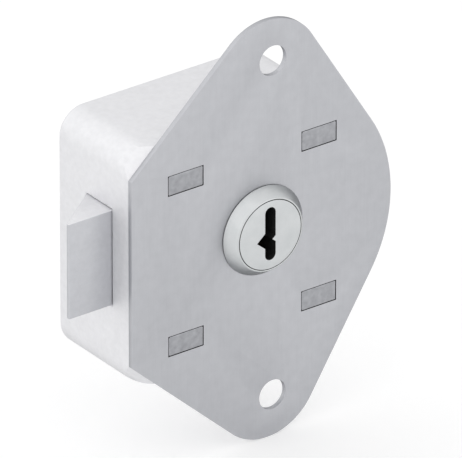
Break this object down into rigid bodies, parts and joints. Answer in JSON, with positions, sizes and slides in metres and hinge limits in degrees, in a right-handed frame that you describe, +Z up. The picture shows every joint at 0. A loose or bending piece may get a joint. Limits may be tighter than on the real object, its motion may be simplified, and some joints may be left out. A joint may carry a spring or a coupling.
{
  "type": "locker lock",
  "caption": "Keyed slam-latch locker lock: shield-shaped plate, die-cast case behind it, cone-nosed key cylinder and a beveled latch out of the left side.",
  "frame": {"origin": "midway between the two screw holes, on the front face of the mounting plate", "axes": "+X to the right as seen from the front, away from the latch; +Y back into the lock; +Z up along the line of the two screw holes"},
  "size_m": [0.0788, 0.0293, 0.099],
  "materials": {
    "plated_steel": "zinc plated, matte grey",
    "zinc_casting": "die-cast zinc, pale satin",
    "latch_zinc": "die-cast zinc, satin grey",
    "satin_nickel": "satin nickel plate",
    "rod_steel": "bright drawn steel",
    "spring_steel": "spring steel, oiled",
    "brass_sheet": "stamped brass"
  },
  "bodies": {
    "housing": {"mounting_plate": "plated_steel", "case": "zinc_casting", "cylinder_shell": "satin_nickel", "shell_clip": "spring_steel", "guide_rod_upper": "rod_steel", "guide_rod_lower": "rod_steel", "rod_clips": "spring_steel", "return_spring_upper": "spring_steel", "return_spring_lower": "spring_steel"},
    "core": {"plug": "satin_nickel", "cam": "plated_steel", "cam_screw": "plated_steel", "drive_pin": "rod_steel", "wafer_spring_1": "spring_steel", "wafer_spring_2": "spring_steel", "wafer_spring_3": "spring_steel", "wafer_spring_4": "spring_steel", "wafer_spring_5": "spring_steel"},
    "tumbler_1": {"wafer_1": "brass_sheet"},
    "tumbler_2": {"wafer_2": "brass_sheet"},
    "tumbler_3": {"wafer_3": "brass_sheet"},
    "tumbler_4": {"wafer_4": "brass_sheet"},
    "tumbler_5": {"wafer_5": "brass_sheet"},
    "slide_carriage": {"carriage": "plated_steel", "latch_spring": "spring_steel"},
    "latch": {"latch_bolt": "latch_zinc"}
  },
  "joints": [
    {"name": "plug_turn", "type": "hinge", "parent": "housing", "child": "core", "pos_m": [-0.0027, 0, 0.0005], "axis": [0, -1, 0], "range_deg": [-90, 0]},
    {"name": "carriage_slide", "type": "slide", "parent": "housing", "child": "slide_carriage", "axis": [-1, 0, 0], "range_m": [-0.01, 0], "stiffness_N_per_m": 1500, "springref_m": 0.003, "deforming": ["return_spring_upper", "return_spring_lower"]},
    {"name": "latch_push", "type": "slide", "parent": "slide_carriage", "child": "latch", "axis": [1, 0, 0], "range_m": [0, 0.01], "stiffness_N_per_m": 1000, "springref_m": -0.004, "deforming": ["latch_spring"]},
    {"name": "wafer_lift_1", "type": "slide", "parent": "core", "child": "tumbler_1", "axis": [0, 0, 1], "range_m": [0, 0.0007], "deforming": ["wafer_spring_1"]},
    {"name": "wafer_lift_2", "type": "slide", "parent": "core", "child": "tumbler_2", "axis": [0, 0, 1], "range_m": [0, 0.0007], "deforming": ["wafer_spring_2"]},
    {"name": "wafer_lift_3", "type": "slide", "parent": "core", "child": "tumbler_3", "axis": [0, 0, 1], "range_m": [0, 0.0007], "deforming": ["wafer_spring_3"]},
    {"name": "wafer_lift_4", "type": "slide", "parent": "core", "child": "tumbler_4", "axis": [0, 0, 1], "range_m": [0, 0.0007], "deforming": ["wafer_spring_4"]},
    {"name": "wafer_lift_5", "type": "slide", "parent": "core", "child": "tumbler_5", "axis": [0, 0, 1], "range_m": [0, 0.0007], "deforming": ["wafer_spring_5"]}
  ],
  "couplings": [
    {"joint": "plug_turn", "follows": "carriage_slide", "rad_per_m": 157.07}
  ]
}
